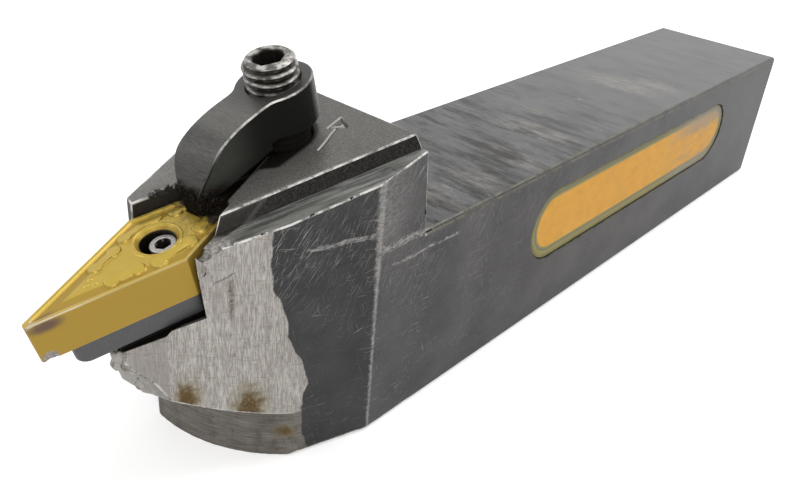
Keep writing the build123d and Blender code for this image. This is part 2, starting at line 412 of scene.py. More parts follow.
def dark_steel(s, x, y, z, fine, coarse):
    """Colour of the black sides with their scuffs and smears, and masks of the scratches and soot."""
    patches = s.step(s.noise(0.16, 3.0), 0.38, 0.62)
    steep = s.highest(*[s.strokes(*line) for line in STEEP_SCRATCHES])
    lengthwise = s.highest(*[s.strokes(*line) for line in LONG_SCRATCHES])
    struck = s.times(s.between(x, 32.0, 42.0, 2.0), s.between(z, 18.5, 25.5, 1.5), 0.85)
    marked = s.highest(s.plus(s.times(patches, s.step(x, -5.0, 32.0)), 0.2), struck)
    scratches = s.times(s.highest(s.times(steep, s.step(z, 10.0, 30.0)), lengthwise), marked)
    colour = s.mix(BLACK_OXIDE, OXIDE_CLOUD, s.step(coarse, 0.3, 0.72))
    colour = s.mix(colour, (0.13, 0.125, 0.12), s.step(fine, 0.5, 0.8), 0.35)
    colour = s.mix(colour, (0.014, 0.014, 0.015), s.step(x, HEAD_CORNER - 0.1, HEAD_CORNER + 0.3), 0.55)
    colour = s.mix(colour, SCRATCH, scratches, 0.75)
    colour = s.mix(colour, (0.36, 0.345, 0.33), rubbed_side(s, x, z), s.step(y, 9.0, 10.0), 0.85)
    smears, soot = soiled_top(s, x, z)
    colour = s.mix(colour, (0.30, 0.275, 0.225), smears, 0.6)
    colour = s.mix(colour, (0.014, 0.012, 0.009), soot)
    return colour, scratches, soot


def ground_steel(s, x, y, z, fine):
    """Colour of the ground nose: vertical grinding lines, the turned band, rust and a stain."""
    grind = s.noise((8.0, 8.0, 0.8), 6.0, 0.75)
    turning = s.noise((0.3, 0.3, 7.0), 4.0, 0.65)
    blotches = s.noise((0.8, 0.8, 0.4), 7.0, 0.72)
    colour = s.mix((0.22, 0.20, 0.18), (0.55, 0.52, 0.485), s.step(grind, 0.32, 0.68))
    colour = s.mix(colour, (0.20, 0.18, 0.155), s.step(blotches, 0.54, 0.72), 0.55)
    broad = s.noise((1.8, 1.8, 0.22), 3.0, 0.6)
    colour = s.mix(colour, (0.27, 0.25, 0.22), s.step(broad, 0.45, 0.66), 0.4)
    colour = s.mix(colour, (0.66, 0.63, 0.59), s.step(broad, 0.42, 0.30), 0.35)
    # Painted shade on the nose's front below the insert.
    nose = s.times(s.step(y, 4.3, 4.0), s.step(z, 10.0, 13.0))
    colour = s.mix(colour, (0.27, 0.245, 0.23), nose, 0.6)
    lump = s.times(s.step(y, 2.9, 2.3), s.step(blotches, 0.3, 0.6))
    colour = s.mix(colour, (0.50, 0.50, 0.46), lump, 0.6)
    crossed = s.strokes(14, (0.5, 0.5, 6.0), 0.60, 5.0)
    colour = s.mix(colour, (0.12, 0.105, 0.09), crossed, 0.35)
    dirt = s.times(s.step(y, 3.2, 2.4), s.step(blotches, 0.53, 0.60))
    colour = s.mix(colour, (0.085, 0.068, 0.05), dirt, 0.6)
    pits = s.step(s.noise((3.2, 3.2, 1.8), 3.0, 0.6), 0.62, 0.7)
    colour = s.mix(colour, (0.14, 0.125, 0.11), pits, 0.45)
    band = s.mix((0.105, 0.096, 0.084), (0.24, 0.222, 0.198), s.step(turning, 0.3, 0.7))
    band = s.mix(band, (0.085, 0.072, 0.052), s.step(blotches, 0.46, 0.66), 0.6)
    colour = s.mix(colour, band, s.step(s.uneven(z, 0.5, 0.8), BAND_TOP + 0.12, BAND_TOP - 0.12))
    fringe = s.highest(*[s.spot(at, size * 1.2, 1.0, (1.0, 1.0, flat)) for at, size, flat in RUST_SPOTS])
    colour = s.mix(colour, (0.22, 0.185, 0.085), fringe, 0.9)
    core = s.highest(*[s.spot(at, size * 0.9, 0.7, (1.2, 1.2, flat)) for at, size, flat in RUST_SPOTS])
    colour = s.mix(colour, RUST, core, s.step(fine, 0.25, 0.5))
    stain_x, stain_low, stain_high = STAIN_LINE
    stain = s.times(s.step(fine, 0.3, 0.6), s.between(z, stain_low, stain_high, 1.4))
    colour = s.mix(colour, (0.11, 0.092, 0.07), stain, s.between(x, stain_x - 0.3, stain_x + 0.15, 0.25))
    slant = s.plus(s.times(x, 0.46), z, s.times(s.noise(1.5, 4.0), 0.35))
    slash = s.times(s.between(slant, 53.5, 53.7, 0.08), s.between(x, 57.7, 59.6, 0.3))
    colour = s.mix(colour, (0.08, 0.07, 0.06), slash, 0.65)
    return colour, grind


def crown_steel(s, dark, head, level, coarse):
    """Adds the crown's grey top, the drawn ledge, the dark wall between them and the engraved arrow, with
    painted light and shade on the arrow's walls and painted shade on its floor.
    """
    x, y, _ = s.parts(s.place)
    a, _, w = s.seat()
    speckle = s.noise(5.0, 6.0, 0.75)
    deck = s.times(s.step(level, 0.93, 0.97), head)
    colour = s.mix((0.085, 0.081, 0.073), (0.185, 0.178, 0.164), s.step(speckle, 0.36, 0.66))
    colour = s.mix(colour, (0.28, 0.272, 0.255), s.step(x, 39.0, 51.0), s.step(speckle, 0.3, 0.6), 0.5)
    colour = s.mix(colour, (0.06, 0.056, 0.05), s.step(coarse, 0.45, 0.7), 0.4)
    drawn = s.noise((0.10, 1.7, 0.6), 5.0, 0.6, at=s.turned(s.place, (0, 0, LEDGE_HEADING)))
    ledge = s.mix((0.075, 0.075, 0.069), (0.25, 0.25, 0.234), s.step(drawn, 0.38, 0.62))
    ledge = s.mix(ledge, (0.09, 0.088, 0.08), s.step(speckle, 0.45, 0.7), 0.4)
    colour = s.mix(colour, ledge, s.step(w, 0.7, 0.5), s.step(w, -0.4, -0.2))
    colour = s.mix(dark, colour, deck)
    wall = s.times(s.between(level, 0.35, 0.9, 0.05), head, s.step(y, 5.4, 5.8))
    wall_colour = s.mix((0.014, 0.013, 0.012), (0.05, 0.048, 0.044), s.step(speckle, 0.4, 0.7))
    colour = s.mix(colour, wall_colour, wall)

    behind_screw = s.step(a, -16.0, -17.0)
    engraved = s.times(s.between(level, 0.2, 0.9, 0.05), head, s.step(y, 5.4, 5.0), s.step(w, 1.0, 1.1))
    # Painted light and shade on the arrow's walls: bright where they face the lamps, near black where they
    # face away.
    lit = s.step(s.facing((0.6, 0.8, 0.0)), 0.0, 0.3)
    arrow_wall_lit_and_shaded = s.mix((0.012, 0.011, 0.010), (0.50, 0.49, 0.46), lit)
    colour = s.mix(colour, arrow_wall_lit_and_shaded, engraved, behind_screw)
    # Painted shade on the floor of the arrow's strokes.
    sunk = s.times(deck, s.step(w, 1.40, 1.34), s.step(w, 0.9, 1.0))
    colour = s.mix(colour, (0.03, 0.028, 0.025), sunk, behind_screw)
    return colour, deck, wall


def shade_and_oil_steel(s, dark, head, level, fine):
    """Adds painted shade in the pocket, in the gap under the shim and round the label's recess, black oil
    and painted shade on the pocket's floor at the front, and the clamp's painted shadow on the crown.
    """
    x, y, z = s.parts(s.place)
    a, _, w = s.seat()
    # Painted shade on the pocket's floor and walls.
    floor = s.times(s.step(level, 0.93, 0.97), s.between(w, -7.8, -6.9, 0.1))
    walls = s.times(s.step(w, -7.3, -7.1), s.step(y, 5.6, 5.3), s.step(w, 1.3, 1.1), s.step(x, 44.0, 45.0))
    pocket = s.highest(walls, floor)
    dark = s.mix(dark, s.mix((0.010, 0.009, 0.008), (0.05, 0.045, 0.038), fine), pocket)
    dark = s.mix(dark, OIL_AND_SHADE, floor, s.step(x, 55.0, 56.0))
    # The clamp's painted shadow on the crown, round a line under its arm.
    line_start, line_end = CLAMP_SHADOW_LINE
    beside = s.minus(y, s.plus(s.times(a, 0.075), 0.02))
    beyond = s.highest(s.minus(line_start, a), s.minus(a, line_end), 0.0)
    reach = s.blend(s.step(a, -14.5, -12.5), 4.0, 2.4)
    under = s.step(s.minus(s.length(beyond, beside), reach), 0.35, -0.35)
    under = s.times(under, head, s.step(w, 2.2, 2.0))
    # Painted shade in the label's recess, round the label.
    from_middle = s.absolute(s.minus(x, LABEL_X)), s.absolute(s.minus(z, LABEL_Z))
    recess = s.times(
        s.between(y, 12.1, 12.66, 0.02),
        s.step(from_middle[0], LABEL_LENGTH / 2 + 1.2, LABEL_LENGTH / 2 + 0.8),
        s.step(from_middle[1], LABEL_HEIGHT / 2 + 0.75, LABEL_HEIGHT / 2 + 0.35),
    )
    # Painted shade in the gap under the shim's outer edge.
    to_facet = s.vector("SUBTRACT", s.place, (*FACET_START, 0.0))
    facet_normal = (math.sin(FACET_ANGLE), math.cos(FACET_ANGLE), 0.0)
    inside_facet = s.vector("DOT_PRODUCT", to_facet, facet_normal)
    gap = s.times(s.step(inside_facet, -0.06, -0.16), s.between(w, -7.95, -7.0, 0.04))
    gap = s.times(gap, s.step(x, 56.0, 57.0))
    dark = s.mix(dark, OIL_AND_SHADE, s.highest(under, recess, gap))
    return dark, s.highest(pocket, gap), under, recess


def holder_material():
    """Scratched black steel, worn grey on the crown and ledge, bare where the nose was ground, with painted
    shade in its hollows and the clamp's painted shadow.
    """
    s = Shader("holder_steel")
    x, y, z = s.parts(s.place)
    w = s.seat()[2]
    coarse = s.noise(0.14, 6.0, 0.62)
    fine = s.noise(2.6, 5.0, 0.65)
    head = s.step(x, HEAD_START, HEAD_START + 0.4)
    level = s.facing(SEAT_NORMAL)
    dark, scratches, soot = dark_steel(s, x, y, z, fine, coarse)
    dark, deck, wall = crown_steel(s, dark, head, level, coarse)
    dark, pocket, under, recess = shade_and_oil_steel(s, dark, head, level, fine)
    burr_steel = s.mix((0.16, 0.15, 0.14), (0.46, 0.445, 0.42), s.step(fine, 0.3, 0.7))
    dark = s.mix(dark, burr_steel, s.step(s.distance(BURR_PLACE), 2.4, 1.2))

    bare, grind = ground_steel(s, x, y, z, fine)
    exposed = s.highest(s.step(level, 0.42, 0.34), s.step(w, -7.35, -7.6))
    ground = s.times(ground_mask(s), exposed, s.minus(1.0, pocket))
    height = s.blend(ground, s.minus(s.times(fine, 0.8), scratches), grind)
    facing_up = s.step(s.facing((0, 0, 1)), 0.8, 0.95)
    top_shine = s.times(s.blend(soot, 0.85, 0.18), s.blend(s.step(coarse, 0.3, 0.7), 0.75, 1.0))
    dull = s.highest(wall, pocket, under, recess)
    return s.finish(
        base_color=s.mix(dark, bare, ground),
        metallic=s.blend(ground, s.times(s.minus(deck, under), 0.4), 0.35),
        roughness=s.blend(ground, s.blend(coarse, 0.26, 0.40), 0.5),
        specular_ior_level=s.blend(dull, s.blend(facing_up, 0.28, top_shine), 0.05),
        normal=s.bump(height, 0.02),
    )


def worn_edge_material():
    """Rubbed steel along the edges: bright round the head and dull along the shank, with painted shade near
    the screw, under the clamp and in the gap under the shim.
    """
    s = Shader("worn_edge")
    x, y, z = s.parts(s.place)
    broken = s.step(s.noise(0.6, 6.0, 0.75), 0.38, 0.60)
    bright = s.mix((0.13, 0.125, 0.115), BRIGHT_STEEL, broken)
    dull = s.mix((0.075, 0.07, 0.058), (0.14, 0.135, 0.105), broken)
    colour = s.mix(dull, bright, s.step(x, HEAD_START, HEAD_START + 3.0))
    w = s.seat()[2]
    # Painted shade on the edges near the screw, under the clamp and in the gap under the shim.
    near_screw = s.length(s.minus(x, SCREW_X), s.minus(y, SCREW_PLACE[1]))
    behind = s.times(s.between(x, 44.0, 55.6, 0.4), s.between(y, -3.2, 4.4, 0.2))
    hidden = s.highest(s.step(near_screw, 5.5, 4.8), s.times(behind, s.step(z, 28.0, 29.0)))
    under_shim = s.times(s.between(w, -7.6, -6.9, 0.1), s.between(x, 57.0, 66.5, 0.6))
    colour = s.mix(colour, OIL_AND_SHADE, s.highest(hidden, under_shim))
    inside = s.times(s.step(y, 8.0, 10.0), s.step(z, SHANK_TOP - 2.0, SHANK_TOP - 3.0))
    inside = s.times(inside, s.step(z, 8.0, 9.0), s.step(x, 15.0, 12.0))
    colour = s.mix(colour, s.mix((0.02, 0.019, 0.016), (0.09, 0.085, 0.06), broken), inside)
    return s.finish(base_color=colour, metallic=0.4, roughness=0.45, normal=s.bump(s.noise(6.0, 3.0), 0.03))


def clamp_edge_material():
    """Rubbed bright along the clamp's upper +Y edge, fading out towards the toe; painted shade, near black,
    elsewhere.
    """
    s = Shader("clamp_edge")
    a, b, _ = s.seat()
    upper = s.step(s.facing(SEAT_NORMAL), 0.15, 0.4)
    side = s.step(b, 0.2, 1.2)
    fade = s.times(s.step(a, -6.6, -9.5), s.blend(s.step(a, -17.0, -20.0), 1.0, 0.5))
    broken = s.step(s.noise(0.7, 5.0, 0.7), 0.38, 0.58)
    rubbed = s.times(upper, side, fade, s.blend(broken, 0.2, 1.0))
    fine = s.noise(5.0, 4.0, 0.65)
    # Painted shade on the flanks' edges, a little lighter on the upper ones.
    black = s.mix(s.mix((0.003, 0.003, 0.003), (0.014, 0.014, 0.012), fine), (0.045, 0.043, 0.039), upper)
    return s.finish(
        base_color=s.mix(black, BRIGHT_STEEL, rubbed),
        metallic=s.times(rubbed, 0.5),
        roughness=0.4,
        specular_ior_level=s.blend(upper, 0.05, 0.4),
        normal=s.bump(fine, 0.02),
    )


def clamp_material():
    """Dark satin black with machining lines across the arm and a rough burnt nose; the flanks carry painted
    shade, and the boss's far flank painted light.
    """
    s = Shader("clamp_steel")
    a, b, w = s.seat()
    crossing = s.noise((9.0, 0.7, 9.0), 5.0, 0.75, at=s.joined(a, b, w))
    fine = s.noise(5.0, 4.0, 0.65)
    up = s.step(s.facing(SEAT_NORMAL), 0.1, 0.5)
    satin = s.mix((0.075, 0.072, 0.064), (0.155, 0.151, 0.14), s.step(crossing, 0.25, 0.75))
    shaded = s.mix((0.030, 0.029, 0.026), (0.085, 0.083, 0.077), s.step(crossing, 0.3, 0.7))
    top = s.mix(satin, shaded, s.step(s.plus(a, s.times(fine, 1.5)), -10.0, -8.0))
    top = s.mix(top, s.mix((0.040, 0.038, 0.034), (0.09, 0.087, 0.08), fine), s.step(a, -12.0, -17.0))
    # Painted shade: near black flanks, a little lighter towards the toe and up the side.
    flank = s.mix((0.003, 0.003, 0.003), (0.014, 0.014, 0.012), fine)
    toe_flank = s.mix((0.022, 0.023, 0.019), (0.055, 0.057, 0.049), fine)
    flank = s.mix(flank, toe_flank, s.step(a, -14.0, -8.5), s.step(w, 1.5, 5.0))
    # Painted light on the boss's far flank.
    behind = s.step(a, -20.3, -22.3)
    flank = s.mix(flank, s.mix((0.10, 0.098, 0.088), (0.32, 0.31, 0.285), s.step(fine, 0.35, 0.65)), behind)
    colour = s.mix(flank, top, up)
    front = s.step(s.plus(w, s.times(s.noise(0.9, 5.0), 1.6)), 4.5, 3.4)
    burnt = s.times(front, s.step(a, -9.0, -7.5))
    soot = s.mix((0.003, 0.0025, 0.002), (0.05, 0.034, 0.023), s.step(fine, 0.5, 0.75))
    colour = s.mix(colour, soot, burnt)
    return s.finish(
        base_color=colour,
        metallic=s.times(up, s.blend(burnt, 0.5, 0.0)),
        roughness=s.blend(burnt, s.blend(up, 0.45, 0.36), 0.7),
        specular_ior_level=s.blend(up, s.blend(behind, 0.05, 0.4), s.blend(burnt, 0.45, 0.05)),
        normal=s.bump(s.plus(crossing, s.times(fine, s.plus(burnt, 0.2))), 0.03),
    )


def screw_material():
    """Steel thread: bright crests, roots darkened as painted shade, a painted highlight on the top's rim,
    and painted shade below the clamp and in the socket.
    """
    s = Shader("screw_steel")
    a, b, w = s.seat(*SCREW_PLACE)
    radius = s.length(a, b)
    crest = s.step(radius, SCREW_RADIUS - 0.38, SCREW_RADIUS - 0.12)
    fine = s.noise(3.0, 5.0, 0.65)
    worn = s.noise((0.8, 0.8, 1.6), 4.0, 0.6)
    steel = s.mix((0.085, 0.08, 0.074), (0.42, 0.40, 0.38), s.step(worn, 0.38, 0.64))
    steel = s.mix(steel, (0.09, 0.08, 0.07), s.step(fine, 0.55, 0.7), 0.5)
    # Painted shade in the thread's roots.
    groove = s.mix((0.012, 0.011, 0.009), (0.05, 0.045, 0.038), fine)
    colour = s.mix(groove, steel, crest)
    colour = s.mix(colour, (0.035, 0.032, 0.028), s.step(w, 9.4, 7.2), 0.6)
    # Painted highlight on the chamfered rim at the top.
    rim = s.mix((0.10, 0.095, 0.088), (0.52, 0.50, 0.47), s.step(worn, 0.4, 0.62))
    colour = s.mix(colour, rim, s.step(w, SCREW_TOP - 0.5, SCREW_TOP - 0.3))
    # Painted shade below the clamp and in the socket.
    gap_and_socket_shade = s.highest(s.step(w, 4.8, 3.8), s.step(radius, 2.0, 1.6))
    colour = s.mix(colour, OIL_AND_SHADE, gap_and_socket_shade)
    return s.finish(
        base_color=colour,
        metallic=s.blend(gap_and_socket_shade, 0.75, 0.0),
        roughness=s.blend(gap_and_socket_shade, 0.36, 0.8),
        specular_ior_level=s.blend(gap_and_socket_shade, 0.5, 0.05),
        normal=s.bump(fine, 0.04),
    )


def gold_coating(s, a, b, w, grain, cloud):
    """Colour of the coating: painted shade on the chip former's slopes, brown from heat at the tip, pale
    along its edges.
    """
    gold = s.mix((0.50, 0.345, 0.048), (0.62, 0.45, 0.074), cloud)
    gold = s.mix(gold, (0.35, 0.24, 0.05), grain, 0.35)
    crease = s.nodes.new("ShaderNodeAttribute")
    crease.attribute_name = "crease"
    # Painted shade on the chip former's slopes, in patches.
    slope_shade = s.times(s.step(crease.outputs["Fac"], 0.5, 1.6), s.step(cloud, 0.2, 0.6))
    colour = s.mix(gold, (0.13, 0.085, 0.02), slope_shade, 0.55)
    flank_gold = s.mix((0.36, 0.23, 0.031), (0.44, 0.285, 0.040), grain)
    colour = s.mix(colour, flank_gold, s.step(w, -0.06, -0.12))
    tip = s.math("DIVIDE", s.minus(a, 13.3), 1.9)
    below = s.math("DIVIDE", s.minus(w, -0.75), 0.85)
    heat = s.length(tip, below, s.times(s.minus(cloud, 0.5), 1.5))
    heat = s.times(s.step(heat, 1.2, 0.3), s.step(b, -0.2, 0.1))
    colour = s.mix(colour, (0.105, 0.06, 0.065), heat, 0.85)
    span = s.plus(s.times(s.absolute(a), HALF_SHORT), s.times(s.absolute(b), HALF_LONG))
    from_rim = s.math("DIVIDE", s.minus(HALF_LONG * HALF_SHORT, span), SIDE)
    second = s.times(s.between(from_rim, LAND_WIDTH, LAND_WIDTH + 0.07, 0.04), s.step(a, 8.0, 11.0))
    first = s.times(s.step(from_rim, 0.07, 0.02), s.blend(s.step(a, 7.0, 11.0), 0.35, 1.0))
    lines = s.times(s.highest(first, second), s.step(w, -0.25, -0.12), s.step(b, 0.0, 0.2))
    return s.mix(colour, (0.72, 0.60, 0.40), lines, s.step(cloud, 0.2, 0.5))


def insert_material():
    """Gold-coloured coating, grey where it chipped, with grime, painted shade in the bore and the clamp's
    painted shadow.
    """
    s = Shader("insert_coating")
    a, b, w = s.seat()
    grain = s.noise(9.0, 4.0, 0.6)
    cloud = s.noise(0.5, 3.0, 0.5)
    colour = gold_coating(s, a, b, w, grain, cloud)
    silver = s.times(s.step(a, 13.4, 14.6), s.step(w, -0.6, -0.1), s.step(s.noise(2.5, 3.0), 0.42, 0.55))
    colour = s.mix(colour, (0.50, 0.46, 0.43), silver, 0.8)
    chip_point = seat_matrix(*CHIP_PLACE).translation / MM
    chip = s.times(s.step(s.distance(chip_point), 0.95, 0.6), s.step(grain, 0.3, 0.5))
    colour = s.mix(colour, s.mix((0.16, 0.14, 0.15), (0.55, 0.51, 0.53), s.step(grain, 0.45, 0.65)), chip)
    # Painted shade in the bore.
    past_hole = s.minus(s.length(a, b), INSERT_HOLE_RADIUS)
    bore = s.times(s.step(past_hole, 0.12, 0.04), s.step(w, -0.2, -0.5))
    colour = s.mix(colour, OIL_AND_SHADE, bore)
    grime = s.times(s.step(a, 0.5, -5.0), s.step(s.noise(1.3, 5.0, 0.7), 0.42, 0.62))
    colour = s.mix(colour, (0.12, 0.085, 0.03), grime, 0.6)
    # The clamp's painted shadow on the insert's rear.
    beyond_clamp = s.highest(s.minus(s.absolute(s.plus(b, 0.5)), 3.2), s.plus(a, 5.0))
    covered = s.step(s.plus(beyond_clamp, s.times(s.noise(0.8, 4.0), 0.8)), 0.8, 0.1)
    colour = s.mix(colour, (0.016, 0.012, 0.006), covered)
    return s.finish(
        base_color=colour,
        metallic=s.times(s.minus(1.0, covered), 0.5),
        roughness=s.blend(grain, 0.28, 0.42),
        normal=s.bump(grain, 0.006),
    )


def shim_material():
    """Dark grey, evenly mottled carbide."""
    s = Shader("shim_carbide")
    fine = s.noise(4.0, 5.0, 0.65)
    colour = s.mix((0.09, 0.09, 0.093), (0.145, 0.145, 0.15), fine)
    return s.finish(base_color=colour, metallic=0.8, roughness=0.5, normal=s.bump(fine, 0.01))


def pin_material():
    """Bright steel; its socket and its part down in the hole are painted black as shade."""
    s = Shader("pin_steel")
    a, b, w = s.seat(PIN_OFFSET)
    fine = s.noise(3.5, 5.0, 0.65)
    steel = s.mix((0.26, 0.25, 0.235), (0.62, 0.60, 0.58), fine)
    # Painted shade in the socket and down in the insert's hole.
    socket = s.highest(s.step(s.length(a, b), 0.86, 0.80), s.step(w, -1.0, -1.4))
    return s.finish(
        base_color=s.mix(steel, OIL_AND_SHADE, socket),
        metallic=s.blend(socket, 0.6, 0.0),
        roughness=0.38,
        normal=s.bump(fine, 0.03),
    )


def label_material():
    """Orange field inside a thin grey line and an olive border, rubbed towards its rear end, with painted
    shade along its rim.
    """
    s = Shader("label_paint")
    x, _, z = s.parts(s.place)
    straight = LABEL_LENGTH / 2 - LABEL_HEIGHT / 2
    beyond = s.highest(s.minus(s.absolute(s.minus(x, LABEL_X)), straight), 0.0)
    inset = s.minus(LABEL_HEIGHT / 2, s.length(beyond, s.minus(z, LABEL_Z)))
    cloud = s.noise(0.35, 5.0, 0.6)
    fine = s.noise(3.0, 4.0, 0.6)
    orange = s.mix((0.64, 0.30, 0.028), (0.72, 0.37, 0.055), cloud)
    olive = s.mix((0.20, 0.175, 0.06), (0.34, 0.30, 0.11), fine)
    lifted = s.plus(inset, s.times(s.minus(z, LABEL_Z), 0.07))
    field = s.mix(olive, (0.15, 0.16, 0.125), s.between(lifted, 0.95, 1.25, 0.06))
    colour = s.mix(field, orange, s.step(lifted, 1.5, 1.7))
    wiped = s.noise((0.16, 1.0, 0.6), 4.0, 0.55)
    rubbed = s.times(s.step(wiped, 0.40, 0.75), s.step(x, -30.0, -46.0))
    upper = s.times(s.step(s.plus(z, s.times(cloud, 3.0)), 18.3, 19.8), s.step(x, -28.0, -44.0))
    lower = s.times(s.step(s.minus(z, s.times(cloud, 3.0)), 10.8, 9.8), s.step(x, -30.0, -40.0))
    rubbed = s.highest(rubbed, upper, lower)
    colour = s.mix(colour, (0.27, 0.245, 0.20), rubbed, 0.7)
    film = s.step(s.noise((0.5, 1.0, 0.9), 6.0, 0.7), 0.40, 0.72)
    colour = s.mix(colour, (0.22, 0.16, 0.06), film, 0.18)
    # Painted shade along the rim, where the recess's wall shades the label, in patches.
    rim_shade = s.times(s.step(inset, 0.9, 0.1), s.step(fine, 0.3, 0.6))
    colour = s.mix(colour, (0.03, 0.03, 0.025), rim_shade, 0.7)
    return s.finish(base_color=colour, roughness=0.45, specular_ior_level=0.2, normal=s.bump(fine, 0.01))


# ---------------------------------------------------------------- meshes

# A face larger than this, in square millimetres, is one of the flat ones.
FLAT_AREA = 6.0
# Edges of a CAD piece sharper than this, in degrees, are worn round.
WORN_ANGLE = 30.0
# Corners of a CAD mesh closer than this are one, and faces that meet flatter than this, in degrees, too.
MERGE_DISTANCE = 0.002
FLAT_ANGLE = 0.4
# Edges sharper than this, in degrees, are shaded sharp on a worn skin, the insert and the screw.
SKIN_ANGLE = 12.0
INSERT_ANGLE = 40.0
SCREW_ANGLE = 35.0
# The largest radius of a lump as a share of its size.
LUMP_MOST = 1.12
# Points on each round end of an engraved stroke.
END_POINTS = 5


def new_object(name, data):
    """Links a mesh, lamp or camera to the scene as an object."""
    made = bpy.data.objects.new(name, data)
    bpy.context.scene.collection.objects.link(made)
    return made


def smooth(mesh, angle):
    """Smooth shading, with flat faces and with edges sharper than angle kept sharp."""
    mesh.shade_smooth()
    for face in mesh.polygons:
        if face.area > FLAT_AREA * MM**2:
            face.use_smooth = False
    mesh.set_sharp_from_angle(angle=math.radians(angle))


def skin(node, body, width, materials):
    """A copy of a CAD node with worn round edges that stands for it; its second material is on them."""
    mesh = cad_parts[node].data.copy()
    mesh.materials.clear()
    work = bmesh.new()
    work.from_mesh(mesh)
    bmesh.ops.remove_doubles(work, verts=work.verts, dist=MERGE_DISTANCE * MM)
    flat = math.radians(FLAT_ANGLE)
    bmesh.ops.dissolve_limit(work, angle_limit=flat, verts=work.verts, edges=work.edges)
    weight = work.edges.layers.float.new("bevel_weight_edge")
    for edge in work.edges:
        convex = len(edge.link_faces) == 2 and edge.is_convex
        if convex and edge.calc_face_angle() > math.radians(WORN_ANGLE):
            edge[weight] = 1.0
    work.to_mesh(mesh)
    work.free()
    piece = new_object(node + "_skin", mesh)
    for material in materials:
        mesh.materials.append(material)
    bevel = piece.modifiers.new("worn edges", "BEVEL")
    bevel.limit_method = "WEIGHT"
    bevel.width = width * MM
    bevel.segments = 2
    bevel.material = min(1, len(materials) - 1)
    bevel.use_clamp_overlap = False
    apply_modifiers(piece)
    smooth(piece.data, SKIN_ANGLE)
    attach(piece, body)
    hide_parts(node)
    return piece


def apply_modifiers(piece):
    """Replaces the piece's mesh with its evaluated mesh and clears the modifiers."""
    graph = bpy.context.evaluated_depsgraph_get()
    made = bpy.data.meshes.new_from_object(piece.evaluated_get(graph))
    piece.modifiers.clear()
    piece.data = made


def lump(centre, size, seed, least):
    """A closed, rough blob in millimetres; least is its smallest radius as a share of size."""
    chance = np.random.default_rng(seed)
    work = bmesh.new()
    bmesh.ops.create_icosphere(work, subdivisions=2, radius=1.0)
    for vert in work.verts:
        vert.co = vert.co * chance.uniform(least, LUMP_MOST)
    place = Matrix.Translation(Vector(centre)) @ Matrix.Diagonal((*size, 1.0))
    bmesh.ops.transform(work, matrix=Matrix.Scale(MM, 4) @ place, verts=work.verts)
    return work


def lumps(places, first_seed, least=0.72, on_seat=False):
    """A lump at each place, which is in the seat frame if on_seat; each has its own seed."""
    made = []
    for number, (place, size) in enumerate(places):
        centre = seat_matrix(*place).translation / MM if on_seat else place
        made.append(lump(centre, size, first_seed + number, least))
    return made


def groove(start, end, width, depth, narrow, matrix):
    """A closed sliver with round ends, for engraving one stroke on the matrix's xy plane.

    narrow is the width at the bottom as a share of the width at the top.
    """
    start, end = Vector(start), Vector(end)
    heading = math.atan2(end.y - start.y, end.x - start.x)
    work = bmesh.new()
    rims = []
    for half, height in ((width / 2, depth), (width / 2 * narrow, -depth)):
        rim = []
        for centre, turn in ((end, -math.pi / 2), (start, math.pi / 2)):
            for number in range(END_POINTS):
                angle = heading + turn + math.pi * number / (END_POINTS - 1)
                off = Vector((math.cos(angle), math.sin(angle))) * half
                rim.append(work.verts.new((*(centre + off), height)))
        rims.append(rim)
    upper, lower = rims
    work.faces.new(upper)
    work.faces.new(reversed(lower))
    for number in range(len(upper)):
        beside = (number + 1) % len(upper)
        work.faces.new((upper[beside], upper[number], lower[number], lower[beside]))
    bmesh.ops.recalc_face_normals(work, faces=work.faces)
    bmesh.ops.transform(work, matrix=matrix @ Matrix.Scale(MM, 4), verts=work.verts)
    return work


def carve(piece, cutters, operation="DIFFERENCE"):
    """Cuts closed shapes out of the piece or joins them to it; their faces take its first material."""
    for work in cutters:
        mesh = bpy.data.meshes.new("cutter")
        work.to_mesh(mesh)
        work.free()
        for material in piece.data.materials:
            mesh.materials.append(material)
        cutter = new_object("cutter", mesh)
        cut = piece.modifiers.new("cut", "BOOLEAN")
        cut.operation = operation
        cut.solver = "EXACT"
        cut.object = cutter
        apply_modifiers(piece)
        bpy.data.objects.remove(cutter)


def grow(piece, blobs):
    """Adds closed lumps, half sunk in the piece, to its mesh; they take its first material."""
    work = bmesh.new()
    work.from_mesh(piece.data)
    for blob in blobs:
        mesh = bpy.data.meshes.new("lump")
        blob.to_mesh(mesh)
        blob.free()
        work.from_mesh(mesh)
    work.to_mesh(piece.data)
    work.free()


def rings_to_mesh(name, rings, matrix, closed):
    """Quads between rings of points, in millimetres in the matrix's frame.

    closed joins the last ring to the first; without it, each end gets one face.
    """
    count = len(rings[0])
    corners = [tuple(point) for ring in rings for point in ring]
    faces = []
    for row in range(len(rings) if closed else len(rings) - 1):
        here, there = row * count, ((row + 1) % len(rings)) * count
        for column in range(count):
            beside = (column + 1) % count
            faces.append((here + column, here + beside, there + beside, there + column))
    if not closed:
        faces += [range(count), range(len(corners) - count, len(corners))]
    mesh = bpy.data.meshes.new(name)
    mesh.from_pydata(corners, [], faces)
    mesh.transform(matrix @ Matrix.Scale(MM, 4))
    return mesh


# ---------------------------------------------------------------- insert

LAND_WIDTH = 0.28
GROOVE_DEPTH = 0.20
# Raised pads of the chip former on one quarter of the top: centres of a pad's two lobes.
PADS = (((6.3, 1.5), (3.8, 2.05)), ((1.9, 3.0), (-1.9, 3.0)))
PAD_LOBE = 0.82
PAD_BRIDGE = 0.5
PAD_HEIGHT = 0.22
PIPS = ((7.5, 0.45), (8.2, 0.0), (7.5, -0.45))
PIP_HEIGHT = 0.13
# The low ring round the hole, with its distance from the hole's edge.
RING_HEIGHT = 0.07
RING_OFF = 0.62
HOLE_CHAMFER = 0.35
